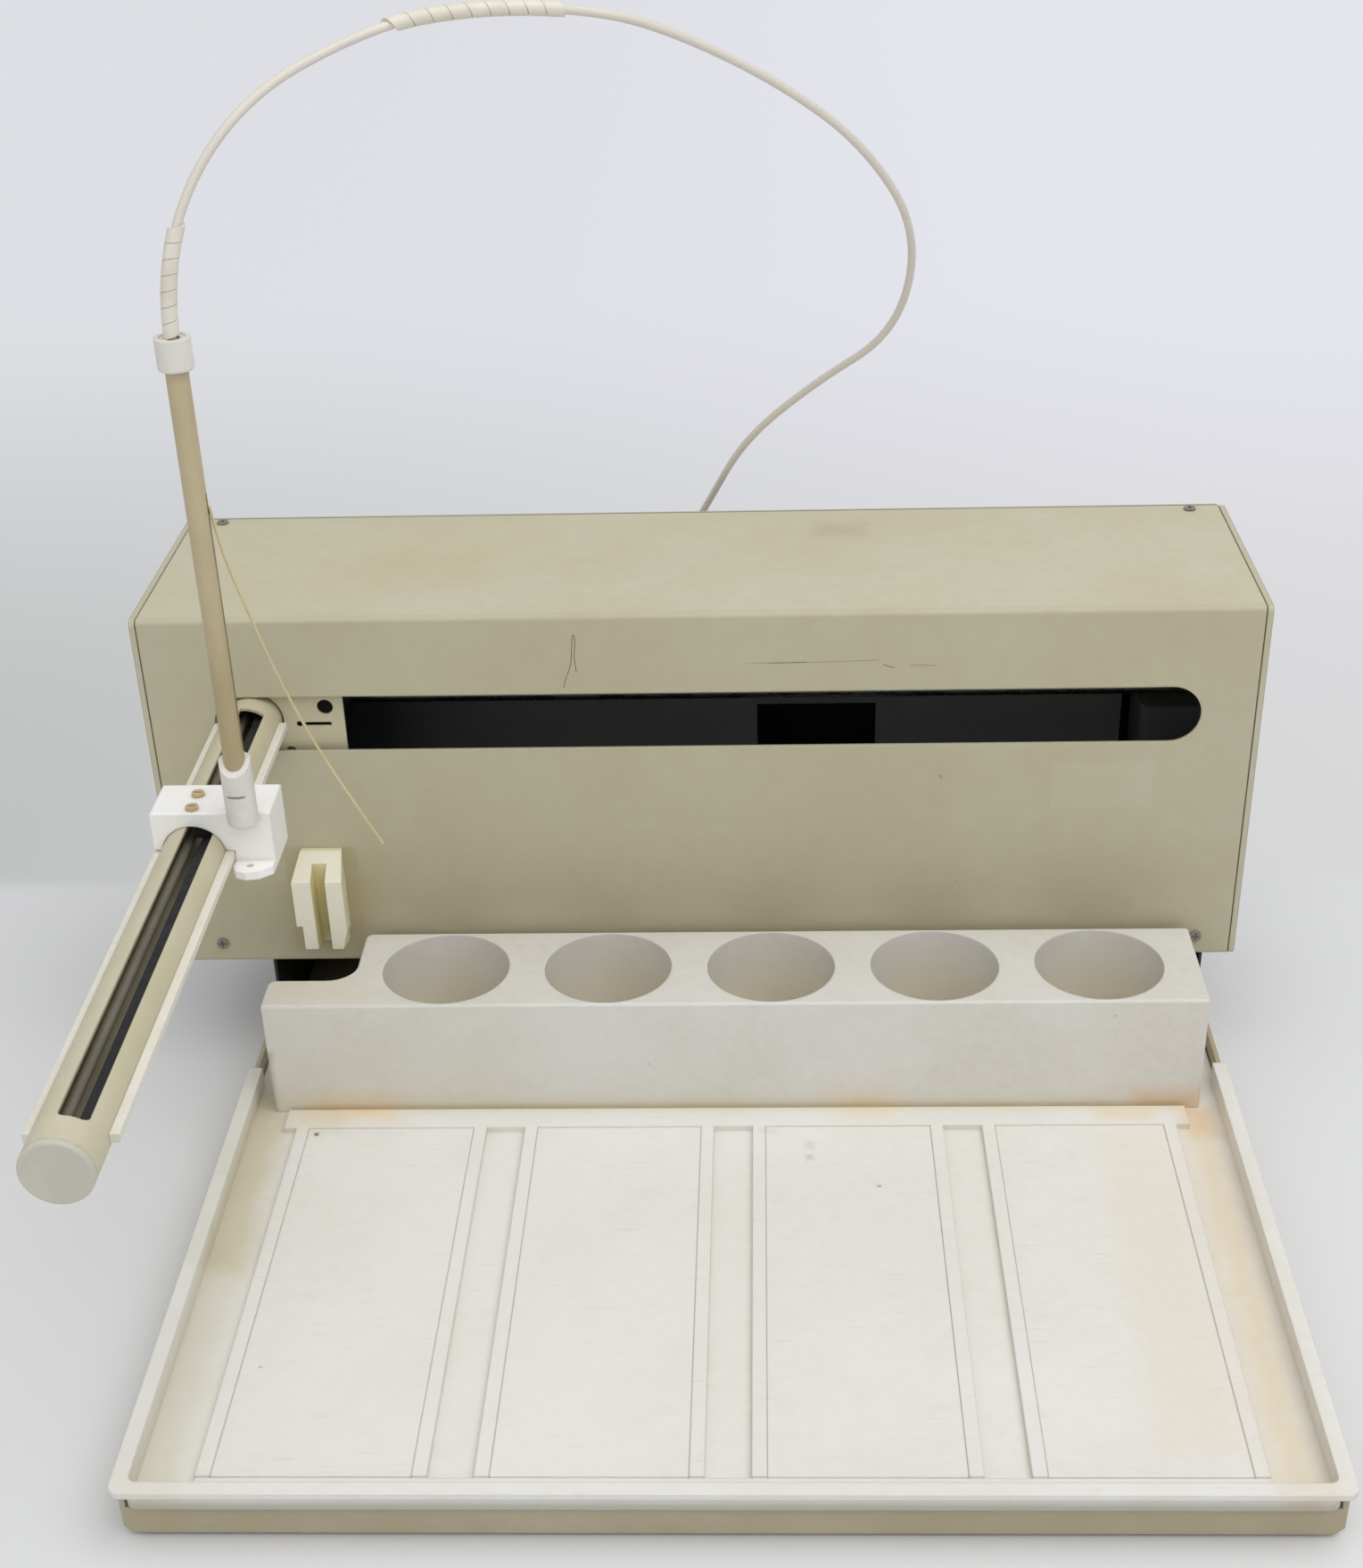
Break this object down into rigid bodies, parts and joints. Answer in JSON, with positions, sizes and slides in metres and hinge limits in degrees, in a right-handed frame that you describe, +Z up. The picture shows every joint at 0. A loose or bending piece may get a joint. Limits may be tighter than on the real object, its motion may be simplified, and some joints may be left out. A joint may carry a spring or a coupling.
{
  "type": "autosampler",
  "caption": "Bench autosampler: a slotted housing carries a travelling slotted arm with a vertical probe tube over a rack tray and a block of wells.",
  "frame": {"origin": "on the bench, under the middle of the instrument's rigid parts", "axes": "+X to the right seen from the front, +Y to the back, +Z up"},
  "size_m": [0.58, 0.5738, 0.5791],
  "materials": {
    "housing_paint": "satin, aged beige enamel",
    "dark_paint": "matt black",
    "panel_paint": "satin beige",
    "white_plastic": "satin, slightly yellowed",
    "cream_plastic": "satin cream",
    "tan_plastic": "satin tan",
    "black_plastic": "matt",
    "steel": "ground",
    "aluminium": "machined",
    "belt_rubber": "matt",
    "board_green": "satin",
    "brass": "plain",
    "sheath_plastic": "satin"
  },
  "bodies": {
    "frame": {"base_pan": "housing_paint", "rubber_feet": "belt_rubber", "pedestal": "dark_paint", "sample_tray": "white_plastic", "standards_block": "white_plastic", "housing_cover": "housing_paint", "left_side_plate": "housing_paint", "right_side_plate": "housing_paint", "rear_panel": "panel_paint", "floor_plate": "panel_paint", "housing_screws": "steel", "rinse_bracket": "cream_plastic", "x_guide_rods": "steel", "left_rod_bracket": "aluminium", "right_rod_bracket": "aluminium", "x_belt": "belt_rubber", "x_motor": "black_plastic", "motor_stand": "aluminium", "idler_post": "aluminium", "control_board": "board_green", "board_posts": "brass", "power_supply": "aluminium", "power_inlet": "black_plastic", "inlet_pins": "brass", "serial_ports": "steel", "rinse_ports": "white_plastic", "inner_wall": "dark_paint", "z_drive_case": "white_plastic", "sheath_gland": "white_plastic", "sheath_rear": "sheath_plastic"},
    "arm": {"arm_tube": "housing_paint", "arm_end_cap": "white_plastic", "arm_rail_left": "white_plastic", "arm_rail_right": "white_plastic", "y_belt": "belt_rubber", "y_guide_shaft": "steel", "y_pulley_yoke": "aluminium", "y_motor": "black_plastic", "carriage_block": "aluminium", "carriage_plate": "housing_paint", "carriage_spacers": "aluminium", "x_belt_clamp": "aluminium"},
    "y_front_roller": {"y_front_pulley": "aluminium"},
    "y_rear_roller": {"y_rear_pulley": "aluminium"},
    "x_drive_roller": {"x_drive_pulley": "aluminium"},
    "x_idle_roller": {"x_idle_pulley": "aluminium"},
    "slider": {"slider_block": "white_plastic", "tube_clip": "white_plastic", "z_tube": "tan_plastic", "z_tube_cap": "white_plastic", "slider_screws": "tan_plastic", "belt_clip": "white_plastic", "sheath_front": "sheath_plastic", "sample_line": "tan_plastic"},
    "probe": {"probe_rod": "steel"},
    "spool": {"z_spool": "white_plastic"},
    "rocker": {"power_rocker": "black_plastic"}
  },
  "joints": [
    {"name": "x_travel", "type": "slide", "parent": "frame", "child": "arm", "axis": [1, 0, 0], "range_m": [0, 0.4715]},
    {"name": "y_travel", "type": "slide", "parent": "arm", "child": "slider", "axis": [0, 1, 0], "range_m": [-0.21, 0.1]},
    {"name": "z_travel", "type": "slide", "parent": "slider", "child": "probe", "axis": [0, 0, 1], "range_m": [-0.165, 0]},
    {"name": "y_front_spin", "type": "hinge", "parent": "arm", "child": "y_front_roller", "pos_m": [-0.2272, -0.248, 0.2166], "axis": [1, 0, 0], "range_deg": [-860, 1800]},
    {"name": "y_rear_spin", "type": "hinge", "parent": "arm", "child": "y_rear_roller", "pos_m": [-0.2272, 0.142, 0.2166], "axis": [1, 0, 0], "range_deg": [-860, 1800]},
    {"name": "x_drive_spin", "type": "hinge", "parent": "frame", "child": "x_drive_roller", "pos_m": [0.262, 0.202, 0.2], "axis": [0, 0, 1], "range_deg": [0, 3115]},
    {"name": "x_idle_spin", "type": "hinge", "parent": "frame", "child": "x_idle_roller", "pos_m": [-0.268, 0.202, 0.2], "axis": [0, 0, 1], "range_deg": [0, 3115]},
    {"name": "spool_spin", "type": "hinge", "parent": "frame", "child": "spool", "pos_m": [-0.03, 0.229, 0.132], "axis": [0, 1, 0], "range_deg": [-445, 0]},
    {"name": "rocker_tilt", "type": "hinge", "parent": "frame", "child": "rocker", "pos_m": [0.2, 0.253, 0.129], "axis": [1, 0, 0], "range_deg": [-14, 0]}
  ],
  "couplings": [
    {"joint": "y_front_spin", "follows": "y_travel", "rad_per_m": -149.25},
    {"joint": "y_rear_spin", "follows": "y_travel", "rad_per_m": -149.25},
    {"joint": "x_drive_spin", "follows": "x_travel", "rad_per_m": 114.94},
    {"joint": "x_idle_spin", "follows": "x_travel", "rad_per_m": 114.94},
    {"joint": "spool_spin", "follows": "z_travel", "rad_per_m": 45.455}
  ]
}
